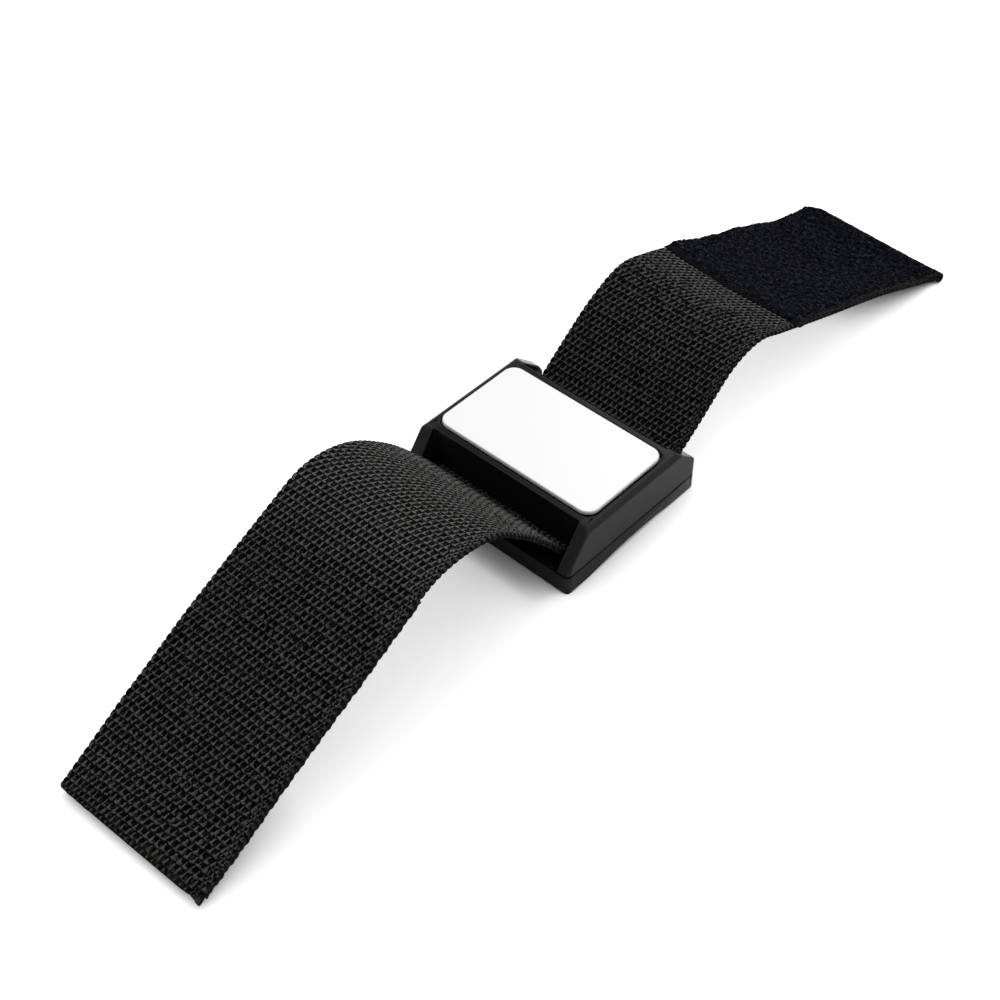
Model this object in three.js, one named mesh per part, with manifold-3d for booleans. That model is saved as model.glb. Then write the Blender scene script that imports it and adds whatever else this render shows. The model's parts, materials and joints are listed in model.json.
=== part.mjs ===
// Magnetic wristband: a moulded case with magnets under a white plate, threaded on a webbing band.
// Millimetres, +Z up. X runs along the band, Y across it. The origin is on the table under the case.
import * as THREE from 'three';
import { mergeVertices } from 'three/addons/utils/BufferGeometryUtils.js';
import Module from 'manifold-3d';

const wasm = await Module();
wasm.setup();

// Case, outside
const caseLength = 60;
const caseDepth = 54;
const caseCornerRadius = 2;
const seamHeight = 4.8;
const seamGap = 0.3;
const coverTop = 17.4;
const topHalfDepth = 18.4;
const endBevel = 1.3;
const nearSlopeFoot = 7.6;
const farSlopeFoot = 11.2;
const slopeFootInset = 1.3;
const slopeFootDrop = 2.3;
const cheekThickness = 4;
const bottomChamfer = 0.4;

// Underside that lies on the wrist
const footWidth = 5;
const archRise = 1.3;

// Slot that the band runs through
const slotFloor = 2.8;
const bandClearance = 0.3;
const blockHalfDepth = 18;
const rampStart = 20.5;
const rimWidth = 0.7;

// Tongues that lock the cover to the base
const tongueLength = 9;
const tongueThickness = 1.5;
const tongueDepth = 2.4;
const tongueSpacing = 26;
const fitGap = 0.3;

// White plate and what lies under it
const plateEndBorder = 2.5;
const plateSideBorder = 2.4;
const plateThickness = 1.2;
const plateCornerRadius = 3.6;
const plateProud = 0.4;
const plateEdge = 0.35;
const pocketWall = 3.4;
const pocketEndWall = 4.6;
const pocketFloor = 1.2;
const yokeThickness = 1.5;
const filmThickness = 0.35;
const magnetCount = 2;
const magnetChamfer = 0.6;
const layerGap = 0.12;

// Band of woven webbing
const bandSideGap = 1;
const webThickness = 2;
const hingeInset = 1.5;
const hingeGap = 0.3;
const bandDrift = 5;
const driftStart = 24;
const driftPower = 1.2;
const bandReach = 152.2;
const endSkewDegrees = 4;
const endSkewMargin = 2;

// Lengths of the webbing between the lines where it bends: from the case outwards, and then under the tape
const nearBends = [13, 26];
const farBends = [13, 25];
const hookBends = [28, 28];
const loopBends = [27, 26];

// Hook tape under the near end and loop pad on top of the far end
const hookThickness = 1.2;
const hookLength = 82;
const hookLead = 4;
const hookSideInset = 0.5;
const hookBevelDegrees = 24;
const loopThickness = 1.1;
const loopLength = 79;
const loopLead = 1;
const loopSideInset = 0.3;
const loopBevelDegrees = 7;
const tapeGap = 0.2;
const tapeJoint = 0.25;

// Sizes that follow from those above
const bandLevel = slotFloor + bandClearance + webThickness / 2;
const slotCeiling = slotFloor + webThickness + 2 * bandClearance;
const halfDepth = caseDepth / 2;
const halfLength = caseLength / 2;
const cheekInner = halfLength - cheekThickness;
const bandWidth = 2 * (cheekInner - bandSideGap);
const hookWidth = bandWidth - 2 * hookSideInset;
const loopWidth = bandWidth - 2 * loopSideInset;
const plateLength = caseLength - 2 * plateEndBorder;
const plateWidth = 2 * (topHalfDepth - plateSideBorder);
const hingeX = blockHalfDepth + hingeInset;
const plateSeat = coverTop + plateProud - plateThickness;
const coverBottom = seamHeight + seamGap;
const pocketHalfDepth = blockHalfDepth - pocketWall;
const pocketHalfLength = halfLength - pocketEndWall;
const pocketBottom = slotCeiling + pocketFloor;
const scoopRadius = webThickness / 2 + hingeGap;

// Heights of the webbing's middle as it lies on the table, from the case outwards
const nearLay = [
  [-hingeX, bandLevel], [-28, 15], [-39, 27], [-53, 36.2], [-67, 39],
  [-81, 35], [-103, 24.6], [-131, 10.4], [-bandReach, 2.7],
];
const farLay = [
  [hingeX, bandLevel], [33, 14.6], [47, 25.2], [58, 29.2],
  [69, 26.9], [95, 17.6], [126, 7.4], [bandReach, 1.25],
];

// Facets along one length of band, round its ends, along the whole lie, and how far cutters overrun
const stepsPerLength = 8;
const stepsPerRound = 8;
const stepsPerLay = 400;
const overrun = 1;
const weld = 1e-4;

const part = new THREE.Group();

function material(color, roughness, metalness) {
  return new THREE.MeshStandardMaterial({ color, roughness, metalness });
}

const shellPlastic = material(0x1a1a1c, 0.38, 0);
const whiteEnamel = material(0xf6f6f4, 0.3, 0.1);
const ferrite = material(0x3b3b3d, 0.75, 0.2);
const zincSteel = material(0x9a9da0, 0.4, 0.9);
const adhesive = material(0xe6e2d6, 0.7, 0);
const webbing = material(0x232323, 0.8, 0);
const hookNylon = material(0x141414, 0.85, 0);
const loopPile = material(0x14151c, 0.95, 0);

function addPiece(name, geometry, look) {
  const mesh = new THREE.Mesh(geometry, look);
  mesh.name = name;
  part.add(mesh);
  return mesh;
}

// Solids for cutting and joining

function solid(geometry) {
  const plain = geometry.clone();
  plain.deleteAttribute('normal');
  plain.deleteAttribute('uv');
  const merged = mergeVertices(plain, weld);
  return new wasm.Manifold(new wasm.Mesh({
    numProp: 3,
    vertProperties: new Float32Array(merged.attributes.position.array),
    triVerts: new Uint32Array(merged.index.array),
  }));
}

function geometryOf(manifold) {
  const mesh = manifold.getMesh();
  const geometry = new THREE.BufferGeometry();
  geometry.setAttribute('position', new THREE.BufferAttribute(new Float32Array(mesh.vertProperties), 3));
  geometry.setIndex(new THREE.BufferAttribute(new Uint32Array(mesh.triVerts), 1));
  geometry.computeVertexNormals();
  return geometry;
}

function box(x0, x1, y0, y1, z0, z1) {
  const geometry = new THREE.BoxGeometry(x1 - x0, y1 - y0, z1 - z0);
  return geometry.translate((x0 + x1) / 2, (y0 + y1) / 2, (z0 + z1) / 2);
}

function roundedRectangle(width, height, radius) {
  const x = width / 2;
  const y = height / 2;
  const shape = new THREE.Shape();
  shape.moveTo(x, -y + radius);
  shape.absarc(x - radius, y - radius, radius, 0, Math.PI / 2);
  shape.absarc(-x + radius, y - radius, radius, Math.PI / 2, Math.PI);
  shape.absarc(-x + radius, -y + radius, radius, Math.PI, Math.PI * 1.5);
  shape.absarc(x - radius, -y + radius, radius, Math.PI * 1.5, Math.PI * 2);
  return shape;
}

// Upright prism of an outline in plan
function prism(shape, bottom, top) {
  const geometry = new THREE.ExtrudeGeometry(shape, {
    depth: top - bottom, bevelEnabled: false, curveSegments: 6,
  });
  return geometry.translate(0, 0, bottom);
}

// Outline in X and Z, run along Y
function runAlongY(shape, halfLength) {
  const geometry = new THREE.ExtrudeGeometry(shape, {
    depth: 2 * halfLength, bevelEnabled: false, curveSegments: 12,
  });
  return geometry.rotateX(Math.PI / 2).translate(0, halfLength, 0);
}

// Outline in Y and Z, run along X
function runAlongX(shape, halfLength) {
  const geometry = new THREE.ExtrudeGeometry(shape, {
    depth: 2 * halfLength, bevelEnabled: false, curveSegments: 12,
  });
  return geometry.rotateX(Math.PI / 2).rotateZ(Math.PI / 2).translate(-halfLength, 0, 0);
}

function outline(points) {
  return new THREE.Shape(points.map(([x, y]) => new THREE.Vector2(x, y)));
}

// Half an outline mirrored left to right, given from the middle of the bottom to the middle of the top
function mirrored(half) {
  const left = half.map(([x, y]) => [-x, y]).reverse();
  return outline([...half, ...left]);
}

const casePlan = roundedRectangle(caseDepth, caseLength, caseCornerRadius);

// Base: a shallow tray with a channel for the band, arched underneath

function tongueBoxes(extra, bottom) {
  const middle = (cheekInner + halfLength) / 2;
  const boxes = [];
  for (const x of [-tongueSpacing / 2, tongueSpacing / 2]) {
    for (const y of [-middle, middle]) {
      boxes.push(box(
        x - tongueLength / 2 - extra, x + tongueLength / 2 + extra,
        y - tongueThickness / 2 - extra, y + tongueThickness / 2 + extra,
        bottom, seamHeight + 2 * seamGap,
      ));
    }
  }
  return boxes;
}

function archCutter() {
  const reach = halfDepth - footWidth;
  const radius = (reach * reach + archRise * archRise) / (2 * archRise);
  const spread = Math.asin(reach / radius);
  const shape = new THREE.Shape();
  shape.moveTo(-reach, -overrun);
  shape.lineTo(reach, -overrun);
  shape.lineTo(reach, 0);
  shape.absarc(0, archRise - radius, radius, Math.PI / 2 - spread, Math.PI / 2 + spread, false);
  return runAlongY(shape, halfLength + overrun);
}

function baseTray() {
  const c = bottomChamfer;
  const overTop = seamHeight + overrun;
  const acrossX = mirrored([[halfDepth - c, 0], [halfDepth, c], [halfDepth, seamHeight]]);
  const acrossY = mirrored([[halfLength - c, 0], [halfLength, c], [halfLength, seamHeight]]);
  const channel = mirrored([
    [rampStart, slotFloor], [halfDepth - rimWidth, seamHeight], [halfDepth - rimWidth, overTop],
  ]);
  let body = solid(prism(casePlan, 0, seamHeight));
  body = body.intersect(solid(runAlongY(acrossX, halfLength + overrun)));
  body = body.intersect(solid(runAlongX(acrossY, halfDepth + overrun)));
  body = body.subtract(solid(runAlongY(channel, cheekInner)));
  body = body.subtract(solid(archCutter()));
  for (const pocket of tongueBoxes(fitGap, seamHeight - tongueDepth - fitGap)) {
    body = body.subtract(solid(pocket));
  }
  return geometryOf(body);
}

// Cover: two sloping cheeks that bridge the band and carry the magnet block

// Edge of a cheek in X and Z, from its bottom to the top: steeper on the near side than on the far side
function cheekSlope(sign, foot) {
  return [
    [sign * halfDepth, coverBottom], [sign * halfDepth, foot - slopeFootDrop],
    [sign * (halfDepth - slopeFootInset), foot], [sign * topHalfDepth, coverTop],
  ];
}

function coverShell() {
  const front = outline([...cheekSlope(1, farSlopeFoot), ...cheekSlope(-1, nearSlopeFoot).reverse()]);
  const side = mirrored([
    [halfLength, coverBottom], [halfLength, coverTop - endBevel], [halfLength - endBevel, coverTop],
  ]);
  const plateSeatPlan = roundedRectangle(
    plateWidth + 2 * fitGap, plateLength + 2 * fitGap, plateCornerRadius + fitGap,
  );
  let body = solid(prism(casePlan, coverBottom, coverTop));
  body = body.intersect(solid(runAlongY(front, halfLength + overrun)));
  body = body.intersect(solid(runAlongX(side, halfDepth + overrun)));
  for (const sign of [-1, 1]) {
    const inner = sign * blockHalfDepth;
    const outer = sign * (halfDepth + overrun);
    body = body.subtract(solid(box(
      Math.min(inner, outer), Math.max(inner, outer), -cheekInner, cheekInner, 0, coverTop + overrun,
    )));
  }
  body = body.subtract(solid(box(
    -blockHalfDepth - overrun, blockHalfDepth + overrun, -cheekInner, cheekInner, 0, slotCeiling,
  )));
  for (const tongue of tongueBoxes(0, seamHeight - tongueDepth)) {
    body = body.add(solid(tongue));
  }
  body = body.subtract(solid(prism(plateSeatPlan, plateSeat, coverTop + overrun)));
  body = body.subtract(solid(box(
    -pocketHalfDepth, pocketHalfDepth, -pocketHalfLength, pocketHalfLength, pocketBottom, coverTop + overrun,
  )));
  return geometryOf(body);
}

// Magnet stack: steel yoke, ferrite blocks, adhesive film and the white plate

function facePlate() {
  const flat = roundedRectangle(
    plateWidth - 2 * plateEdge, plateLength - 2 * plateEdge, plateCornerRadius - plateEdge,
  );
  const geometry = new THREE.ExtrudeGeometry(flat, {
    depth: plateThickness - plateEdge, bevelEnabled: true, bevelThickness: plateEdge,
    bevelSize: plateEdge, bevelSegments: 3, curveSegments: 8,
  });
  const bottom = plateSeat + layerGap;
  const trimmed = solid(geometry.translate(0, 0, bottom)).intersect(solid(box(
    -plateWidth, plateWidth, -plateLength, plateLength, bottom, bottom + plateThickness,
  )));
  return geometryOf(trimmed);
}

function magnetStack() {
  const width = 2 * (pocketHalfDepth - fitGap);
  const length = 2 * (pocketHalfLength - fitGap);
  const yokeBottom = pocketBottom + layerGap;
  const magnetBottom = yokeBottom + yokeThickness + layerGap;
  const filmBottom = plateSeat - filmThickness;
  const magnetTop = filmBottom - layerGap;
  const pitch = length / magnetCount;
  addPiece('steel_yoke', box(
    -width / 2, width / 2, -length / 2, length / 2, yokeBottom, yokeBottom + yokeThickness,
  ), zincSteel);
  for (let i = 0; i < magnetCount; i += 1) {
    const block = outline([
      [-width / 2 + magnetChamfer, -pitch / 2 + fitGap / 2],
      [width / 2 - magnetChamfer, -pitch / 2 + fitGap / 2],
      [width / 2, -pitch / 2 + fitGap / 2 + magnetChamfer],
      [width / 2, pitch / 2 - fitGap / 2 - magnetChamfer],
      [width / 2 - magnetChamfer, pitch / 2 - fitGap / 2],
      [-width / 2 + magnetChamfer, pitch / 2 - fitGap / 2],
      [-width / 2, pitch / 2 - fitGap / 2 - magnetChamfer],
      [-width / 2, -pitch / 2 + fitGap / 2 + magnetChamfer],
    ]);
    const magnet = addPiece(`ferrite_magnet_${i + 1}`, prism(block, magnetBottom, magnetTop), ferrite);
    magnet.position.y = -length / 2 + pitch * (i + 0.5);
  }
  addPiece('adhesive_film', box(
    -width / 2, width / 2, -length / 2, length / 2, filmBottom, filmBottom + filmThickness,
  ), adhesive);
}

// Band: lengths of webbing between the lines where it bends

function layCurve(points) {
  const places = points.map(([x, z]) => new THREE.Vector3(x, 0, z));
  const curve = new THREE.CatmullRomCurve3(places, false, 'centripetal');
  curve.arcLengthDivisions = stepsPerLay;
  return curve;
}

// Frame of a wing's middle line at a distance from its first bend, as 2D vectors in X and Z
function wingFrame(curve, distance) {
  const length = curve.getLength();
  const share = Math.min(Math.max(distance / length, 0), 1);
  const point = curve.getPointAt(share);
  const tangent = curve.getTangentAt(share);
  const at = new THREE.Vector2(point.x, point.z);
  const along = new THREE.Vector2(tangent.x, tangent.z).normalize();
  const up = new THREE.Vector2(-along.y, along.x);
  if (up.y < 0) up.negate();
  return { at, along, up };
}

function offsetPoint(frame, along, up) {
  return frame.at.clone().addScaledVector(frame.along, along).addScaledVector(frame.up, up);
}

// Sideways lie of the band: both wings drift towards -Y, and their ends are cut square to that drift
function layOver(geometry, endFrom) {
  const position = geometry.attributes.position;
  const skew = Math.tan(THREE.MathUtils.degToRad(endSkewDegrees));
  for (let i = 0; i < position.count; i += 1) {
    const x = position.getX(i);
    const y = position.getY(i);
    const out = Math.max(0, (Math.abs(x) - driftStart) / (bandReach - driftStart));
    position.setY(i, y - bandDrift * out ** driftPower);
    if (endFrom !== undefined) {
      const turn = Math.max(0, (Math.abs(x) - endFrom) / (bandReach - endFrom));
      position.setX(i, x + Math.sign(x) * y * skew * turn);
    }
  }
  geometry.computeVertexNormals();
  return geometry;
}

// One length of webbing: hollow end at its first bend, round end at its next, or a square last end
function webLength(curve, start, end, last) {
  const half = webThickness / 2;
  const first = wingFrame(curve, start);
  const spread = Math.asin(half / scoopRadius);
  const lead = scoopRadius * Math.cos(spread);
  const top = [];
  const bottom = [];
  const scoop = [];
  for (let i = 1; i <= stepsPerLength; i += 1) {
    const frame = wingFrame(curve, start + lead + (end - start - lead) * i / stepsPerLength);
    top.push(offsetPoint(frame, 0, half));
    bottom.push(offsetPoint(frame, 0, -half));
  }
  for (let i = 0; i <= stepsPerRound; i += 1) {
    const angle = -spread + 2 * spread * i / stepsPerRound;
    scoop.push(offsetPoint(first, scoopRadius * Math.cos(angle), scoopRadius * Math.sin(angle)));
  }
  const round = [];
  if (!last) {
    const frame = wingFrame(curve, end);
    for (let i = 1; i < stepsPerRound; i += 1) {
      const angle = Math.PI / 2 - Math.PI * i / stepsPerRound;
      round.push(offsetPoint(frame, half * Math.cos(angle), half * Math.sin(angle)));
    }
  }
  return new THREE.Shape([...scoop, ...top, ...round, ...bottom.reverse()]);
}

// One length of tape on the webbing, its ends bevelled so that it clears its neighbour as the band bends
function tapeLength(curve, start, end, near, far, bevelStart, bevelEnd) {
  const inner = [];
  const outer = [];
  const slope = (depth, degrees) => Math.abs(depth) * Math.tan(THREE.MathUtils.degToRad(degrees));
  for (let i = 0; i <= stepsPerLength; i += 1) {
    const share = i / stepsPerLength;
    const innerStart = start + slope(near, bevelStart);
    const innerEnd = end - slope(near, bevelEnd);
    const outerStart = start + slope(far, bevelStart);
    const outerEnd = end - slope(far, bevelEnd);
    inner.push(offsetPoint(wingFrame(curve, innerStart + (innerEnd - innerStart) * share), 0, near));
    outer.push(offsetPoint(wingFrame(curve, outerStart + (outerEnd - outerStart) * share), 0, far));
  }
  return new THREE.Shape([...inner, ...outer.reverse()]);
}

function wing(side, lay, lengths, tape) {
  const curve = layCurve(lay);
  const total = curve.getLength();
  const tapeStart = total - tape.length;
  const bends = [0];
  for (const length of lengths) bends.push(bends[bends.length - 1] + length);
  bends.push(tapeStart - tape.lead);
  for (const length of tape.bends) bends.push(bends[bends.length - 1] + length);
  bends.push(total);
  const lastX = Math.abs(wingFrame(curve, bends[bends.length - 2]).at.x) + endSkewMargin;
  for (let i = 0; i < bends.length - 1; i += 1) {
    const last = i === bends.length - 2;
    const shape = webLength(curve, bends[i], bends[i + 1], last);
    const geometry = layOver(runAlongY(shape, bandWidth / 2), last ? lastX : undefined);
    addPiece(`${side}_band_${i + 1}`, geometry, webbing);
  }
  const sides = bends.filter((bend) => bend > tapeStart);
  let from = tapeStart;
  sides.forEach((to, i) => {
    const first = i === 0;
    const last = i === sides.length - 1;
    const shape = tapeLength(
      curve, from + (first ? 0 : tapeJoint), to - (last ? 0 : tapeJoint),
      tape.up * (webThickness / 2 + tapeGap), tape.up * (webThickness / 2 + tapeGap + tape.thickness),
      first ? 0 : tape.bevel, last ? 0 : tape.bevel,
    );
    const geometry = layOver(runAlongY(shape, tape.width / 2), last ? lastX : undefined);
    addPiece(`${tape.name}_${i + 1}`, geometry, tape.look);
    from = to;
  });
}

function bandCore() {
  const half = webThickness / 2;
  const shape = new THREE.Shape();
  shape.absarc(hingeX, bandLevel, half, -Math.PI / 2, Math.PI / 2);
  shape.absarc(-hingeX, bandLevel, half, Math.PI / 2, Math.PI * 1.5);
  return runAlongY(shape, bandWidth / 2);
}

addPiece('base_tray', baseTray(), shellPlastic);
addPiece('cover_shell', coverShell(), shellPlastic);
addPiece('face_plate', facePlate(), whiteEnamel);
magnetStack();
addPiece('band_core', bandCore(), webbing);
wing('near', nearLay, nearBends, {
  name: 'hook_tape', length: hookLength, lead: hookLead, bends: hookBends, width: hookWidth,
  thickness: hookThickness, up: -1, bevel: hookBevelDegrees, look: hookNylon,
});
wing('far', farLay, farBends, {
  name: 'loop_pad', length: loopLength, lead: loopLead, bends: loopBends, width: loopWidth,
  thickness: loopThickness, up: 1, bevel: loopBevelDegrees, look: loopPile,
});

export default part;
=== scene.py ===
"""Looks of a magnetic wristband: moulded case, white plate, woven band, hook tape and loop pad."""

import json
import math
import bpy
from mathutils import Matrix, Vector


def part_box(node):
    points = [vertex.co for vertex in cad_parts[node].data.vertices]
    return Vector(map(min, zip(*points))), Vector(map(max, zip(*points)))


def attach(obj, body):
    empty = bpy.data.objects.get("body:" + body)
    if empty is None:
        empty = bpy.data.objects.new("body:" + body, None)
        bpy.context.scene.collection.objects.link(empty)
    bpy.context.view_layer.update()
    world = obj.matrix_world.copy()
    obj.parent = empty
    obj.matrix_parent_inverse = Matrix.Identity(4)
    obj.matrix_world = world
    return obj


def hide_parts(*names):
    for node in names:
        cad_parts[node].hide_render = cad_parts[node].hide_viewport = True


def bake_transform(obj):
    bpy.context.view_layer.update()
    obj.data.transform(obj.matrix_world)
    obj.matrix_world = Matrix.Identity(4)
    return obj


bl_info = {
    "name": "Magnetic Wristband",
    "version": (1, 0, 0),
    "blender": (4, 5, 0),
    "location": "View3D > Sidebar > Wristband",
    "description": "Dresses the wristband's solids in moulded plastic, enamel, webbing, hooks and pile",
    "category": "Object",
}

from types import SimpleNamespace

import bmesh
import bpy
import numpy as np
from bpy.props import FloatProperty, FloatVectorProperty, IntProperty, PointerProperty
from bpy.types import Operator, Panel, PropertyGroup
from mathutils import Vector

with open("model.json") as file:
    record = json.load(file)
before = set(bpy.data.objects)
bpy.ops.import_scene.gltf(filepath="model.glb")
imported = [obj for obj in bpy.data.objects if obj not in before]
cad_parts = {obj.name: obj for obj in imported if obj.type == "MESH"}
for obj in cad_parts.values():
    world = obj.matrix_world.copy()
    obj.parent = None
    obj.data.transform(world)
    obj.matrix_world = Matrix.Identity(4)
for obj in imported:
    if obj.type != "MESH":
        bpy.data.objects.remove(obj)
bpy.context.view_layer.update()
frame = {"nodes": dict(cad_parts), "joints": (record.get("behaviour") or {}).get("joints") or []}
MM = 0.001
BAKE_MAP = "OFBake"

# How the band lies on the table: places of the webbing's middle in X and Z, in mm, from the case outwards
LAY = {
    "near": (
        (-28, 15), (-39, 27), (-53, 36.2), (-67, 39), (-81, 35), (-103, 24.6), (-131, 10.4), (-152.2, 2.7)),
    "far": ((33, 14.6), (47, 25.2), (58, 29.2), (69, 26.9), (95, 17.6), (126, 7.4), (152.2, 1.25)),
}
# Distance from the case's middle, then how far the band's +Y and -Y edges lift and draw in there, in mm
EDGES = {
    "near": (
        (40, 0, 0, 0, 0), (48, 0.5, 1.4, 0, 0), (56, 0.8, 0.8, 0, 0), (66, 0.5, 0.3, 0, 0),
        (74, 0, 0.5, 0.4, 0), (84, -0.4, 0, 0.5, -0.3), (98, -0.2, 0.2, 0.3, -0.5), (110, 0, 1, 0, -0.6),
        (120, 0, 1.5, 0, -0.6), (130, 0, 1.6, 0, -0.6), (138, 0, 1, 1, -0.6), (145, 0, 0.5, 2, -0.6),
        (153, 0, 0, 3.2, -0.6)),
    "far": (
        (24, 0, 0, 0, 0), (34, 0.7, 0.6, 0, 0), (41, 0.7, 1.2, 0, 0), (48, 0.7, 2.4, 0, 0),
        (57, 1.4, 1.4, 0, 0), (67, 1.4, 0.2, 0, 0), (77, 1.6, 0.2, 0, 0), (92, 1.4, 1, 0, 0),
        (107, 1.5, 1.7, 0, 0), (118, 1.3, 2.1, 0, 0), (128, 0.3, 1.4, 0, 0), (138, -0.6, 0.7, 0, -0.4),
        (152, 0, 0, 0, -1.6)),
}
EDGE_SPREAD = 3
CORNER_TRIM = {"near": 0, "far": 2.2}
CORNER_REACH = 5
BAND_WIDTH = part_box("band_core")[1].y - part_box("band_core")[0].y
BAND_HALF = BAND_WIDTH / MM / 2
WING_SIGN = {"near": -1, "far": 1}
LENGTHS = 6
BAND_REACH = 152.2
BAND_DRIFT = 5
DRIFT_START = 24
DRIFT_POWER = 1.2
END_SKEW = math.tan(math.radians(4))
END_SKEW_MARGIN = 2
PATH_STEP = 0.1
PATH_SPARE = 3
MOUTH_SPREAD = 2
MOUTH_REACH = 6
BLEND_REACH = 3.5

# Weave, in mm: each row has stems of warp that stand on feet of weft, and every other row is mirrored
ROW_BACK = 1.6
ROW_SHIFT = 0.6
REPEAT_BACK = 0.34
STEM_LENGTH = (1.66, 1.5)
STEM_TOP = (1, 0.85)
STEM_HALF = (0.35, 0.24)
STEM_LEAN = 0.28
STEM_FALL = 0.25
STEM_END = 0.9
FOOT_TOP = 0.9
FOOT_FALL = 0.9
FOOT_LENGTH = 1.15
FOOT_HALF = 0.34
PIT = -1.2
SAMPLES_ACROSS = 4
SAMPLES_ALONG = 6
# Stretches seen at a slant, where the weave is pulled even: start, end and how far they fade, in mm inwards
EVEN = ((28, 73, 9), (-96, -56, 6))
EVEN_STRAY = 0.3
# How much lighter the crests are coloured on these stretches: painted light, where the crests face the light
EVEN_PAINTED_LIGHT = 1.3
EVEN_CRIMP = 0.5
STRAY = (1.5, 1.3, 0)
EDGE_ROUND = 0.6
EDGE_STEPS = (72, 36)
BEAD_LEVEL = 0.65
BEAD_OUT = 0.35
BEAD_HEIGHT = 0.22
BEAD_WIDTH = 1.3
BEAD_CALM = 0.6
SELVEDGE_WIDTH = 2.7
SELVEDGE_FINENESS = 1.7
SELVEDGE_CRIMP = 0.55
MELT_LENGTH = 3.8
MELT_CRIMP = 0.35
CUT_SPARE = {"near": 0.9, "far": 0}
CUT_TILT = {"near": 0.9, "far": 0}
CUT_ROWS = ((0.8, 1), (0.5, 1.08), (0.18, 0.86), (0, 0.5))

# Loop pad and hook tape, in mm above or below the webbing's middle
PAD_FLOOR = 0.6
PAD_SOFT_EDGE = 0.9
PAD_SKEW = 1.75
PAD_SKEW_SHIFT = -1.75
PAD_SKEW_REACH = 14
PAD_CALM = (0.5, 3.2)
PAD_RAMP = (1.2, 3.6)
PAD_GRID = 0.33
PAD_PRESSED = 0.6
PAD_PRESSED_REACH = 3.5
PAD_CORNER = 1.2
PAD_CORNER_REACH = 6
PAD_BASE_STEPS = 12
PAD_START = 0.3
PAD_CREASE = (0.2, 0.62, 8)
PILE_WAVES = 46
STITCH_PITCH = 3
STITCH_LENGTH = 2.5
STITCH_WIRE = 0.2
STITCH_LEVEL = 0.2
HEM_RADIUS = 1.45
HEM_LEVEL = 0.55
HEM_SIDES = 14
HEM_OUT = 0.7
HEM_TIP = ((0.8, 0.9), (0.4, 0.62))
HEM_MOUTH = ((2.4, 0.5), (0.3, 0.62), (0, 0.82), (0.12, 1.02), (0.5, 1.12))
LOOP_POINTS = 6
LOOP_SIDES = 3
TAPE_BACK = -0.72
TAPE_FACE = -1.25
TAPE_GRID = 0.5
HOOK_SIDES = 4
HOOK_SHAPE = ((0, 0), (0, 0.3), (0.03, 0.6), (0.16, 0.88), (0.4, 1), (0.56, 0.84))
SEED = 7
PILE_DEEP = 0.02
PILE_LIGHT = 6
PATCH_COLOUR = (0.007, 0.007, 0.0075)
BOUND_COLOUR = (0.022, 0.022, 0.021)

# Cut ends, in mm: side of a corner, how far it stands out, its reach and fade, and the swelling at -Y
CUT_CORNERS = ((-1, 0.5, 1.8, 1.6), (1, -0.7, 0.9, 0.9))
CUT_SWELL = (0.35, 2.2, 1.2)

# Waves that faces and edges stray by: the length, phase and height of each, in mm
CUT_FRAY = ((4.1, 0.4, 0.1), (1.9, 1.7, 0.07), (0.83, 2.9, 0.05))
PAD_STRAY = ((37, 0.3, 0.35), (14, 1.9, 0.2))
PAD_SWELL = ((31, 0.6, 0.12), (17, 2.2, 0.07))
PAD_SWELL_ACROSS = (23, 1.2, 0.08)
HEM_WAVES = ((6.3, 0.2, 0.03), (2.1, 1.4, 0.03))
TAPE_WAVES = ((1.97, 0.3, 0.12), (5.3, 1.2, 0.1))

# Caps of tubes on the map, and a small turn that keeps straight strands from having no side
CAP_RISE = 0.006
CAP_STEP = 0.01
ASKEW = (0.011, 0.023, 0.017)

# Base of the case, in m: the seam where its walls start to stand out, and how far out its walls begin
FLARE_TOP = 5 * MM
FLARE_FROM = (24 * MM, 27 * MM)
# Edges of the case that stay sharp at the foot, and how much the faces of an edge turn, in m and radians
SHARP_BELOW = 1 * MM
SHARP_TURN = math.radians(24)
FLAT_TURN = math.radians(0.6)
# Where the case is painted paler, in m: its cheeks and their slopes (rubbed plastic and painted highlight),
# the rim of its top (painted reflection), and not along its seam
CHEEK_FROM = 25.9 * MM
CHEEK_FOOT = 6 * MM
SLOPE_END = 20 * MM
RIM_FROM = 25.5 * MM
RIM_HEIGHT = 16.7 * MM
SEAM_HEIGHT = 4.95 * MM
SEAM_REACH = 0.7 * MM
# How pale rounded edges and cheek slopes are painted (rubbed plastic and painted highlight), and how pale the
# top rim and the foot of the base are painted (painted reflection)
ROUNDED_BELOW = math.cos(math.radians(4))
SLOPE_RUBBING_AND_HIGHLIGHT = 0.65
PAINTED_REFLECTION = 0.4

# Stage, in m: the light, the floor with its shade and the stretches where that changes, beside the case,
# where painted shadow is kept deeper, and far from it, where painted light lifts the floor more, and the
# directions of the low and the light surroundings
KEY_PLACE = (0.79, 0.42, 0.8)
KEY_SIZE = 0.32
FLOOR_REACH = 4
SHADE_REACH = 0.015
BESIDE_FROM = (-0.07, -0.045)
BESIDE_TO = (-0.02, 0.02)
BESIDE_ACROSS = (-0.034, -0.026)
FAR_FLOOR = (0, 0.05)
LOW_SIDE = (0.35, -0.35, -0.87)
LIGHT_SIDE = (0.7, 0.3, 0.65)


# Settings


def metres(name, text, size):
    """A setting in metres."""
    return FloatProperty(name=name, description=text, subtype="DISTANCE", unit="LENGTH", default=size)


def degrees(name, text, turn):
    """A setting for an angle."""
    return FloatProperty(name=name, description=text, subtype="ANGLE", default=math.radians(turn))


def tint(name, text, shade):
    """A setting for a colour."""
    return FloatVectorProperty(
        name=name, description=text, subtype="COLOR", size=3, min=0, max=1, default=shade)


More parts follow.
